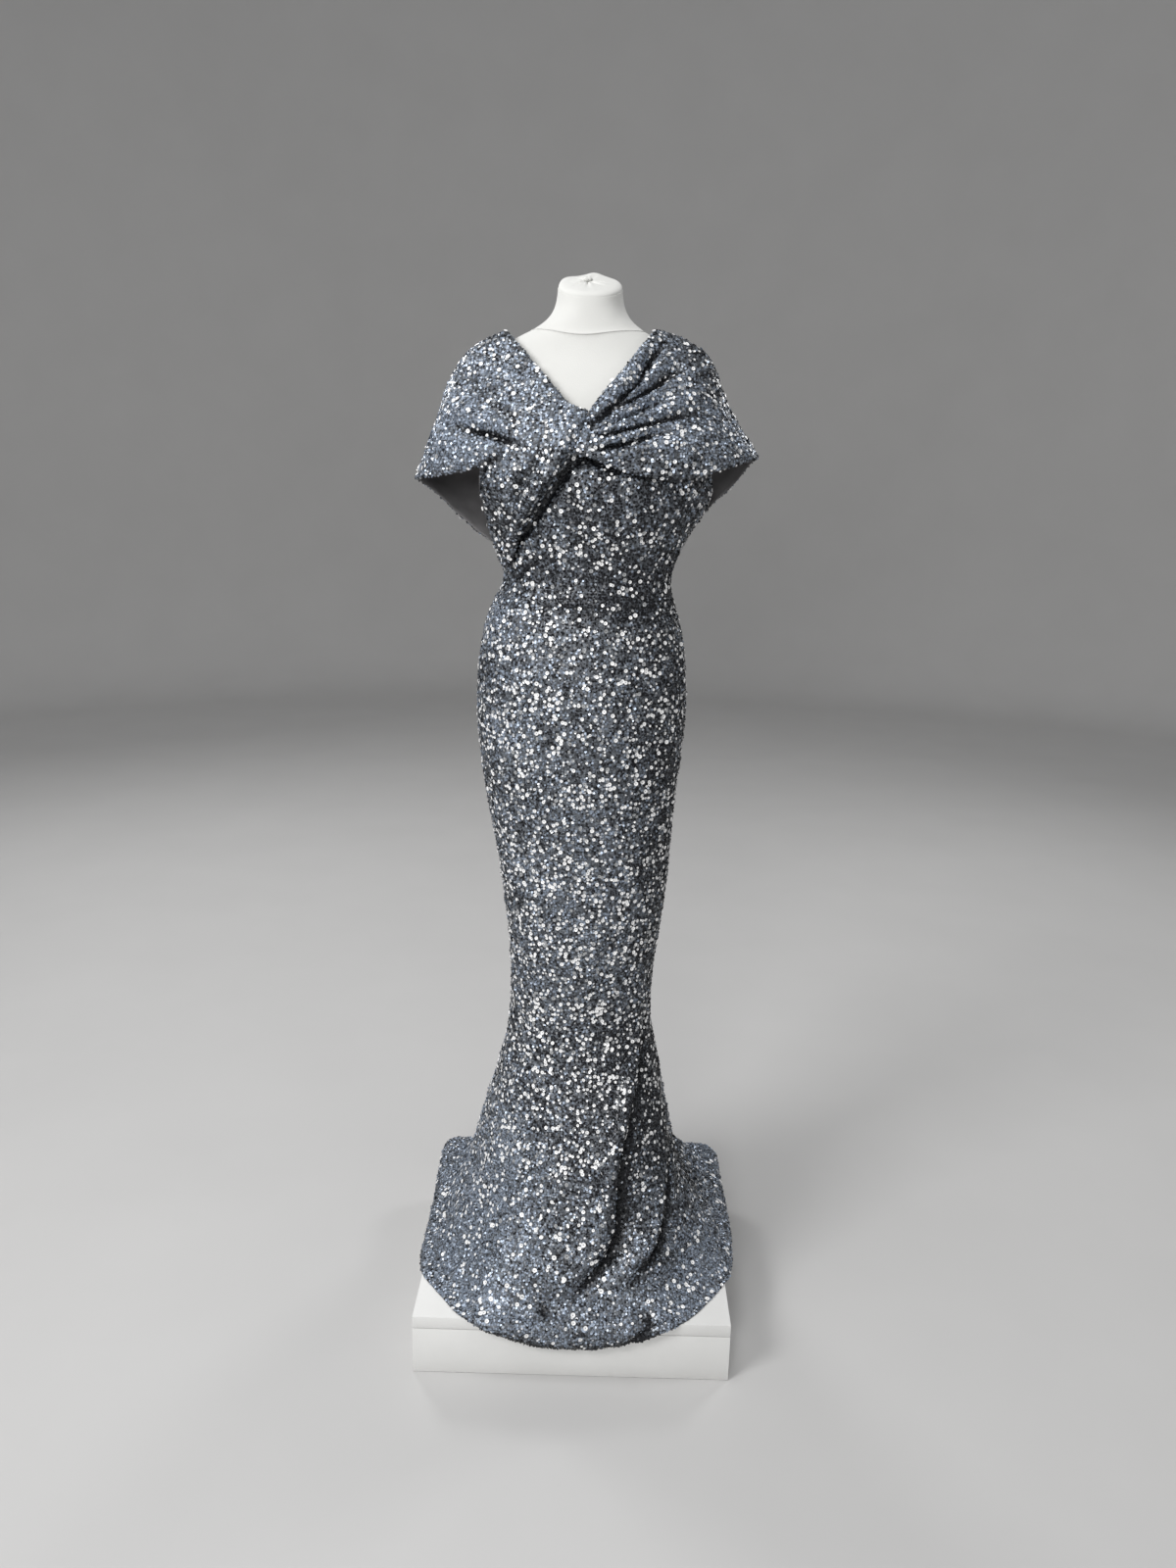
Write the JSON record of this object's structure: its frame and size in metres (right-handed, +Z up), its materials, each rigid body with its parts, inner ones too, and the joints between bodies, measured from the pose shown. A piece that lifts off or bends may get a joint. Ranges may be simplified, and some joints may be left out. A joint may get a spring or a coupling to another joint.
{
  "type": "sequinned mermaid evening gown on a limbless dress form and plinth",
  "caption": "Floor-length fishtail evening gown in blue-grey sequins, with crossed front drapes and cape sleeves, on a white limbless dress form with a pole stand and a low square plinth.",
  "frame": {"origin": "on the floor, under the middle of the plinth", "axes": "+Z up; the front of the gown faces -Y; +X to the right, seen from the front"},
  "size_m": [0.5453, 0.5386, 1.6716],
  "materials": {
    "sequinned_cloth": "blue-grey stretch net, sewn all over with round glossy cup sequins",
    "form_jersey": "white cotton jersey pulled over a smooth form",
    "plinth_board": "white melamine-faced board, satin",
    "stand_steel": "brushed steel"
  },
  "bodies": {
    "root": {"bodice_back_left": "sequinned_cloth", "bodice_back_right": "sequinned_cloth", "bodice_front": "sequinned_cloth", "drape_front_left": "sequinned_cloth", "drape_front_right": "sequinned_cloth", "form_neck": "form_jersey", "form_neck_cap": "form_jersey", "form_neck_knot": "form_jersey", "form_torso": "form_jersey", "plinth_back": "plinth_board", "plinth_front": "plinth_board", "plinth_left": "plinth_board", "plinth_right": "plinth_board", "plinth_top": "plinth_board", "skirt_back_left": "sequinned_cloth", "skirt_back_right": "sequinned_cloth", "skirt_front": "sequinned_cloth", "stand_base": "stand_steel", "stand_pole": "stand_steel", "wing_back_left": "sequinned_cloth", "wing_back_right": "sequinned_cloth"}
  },
  "joints": []
}
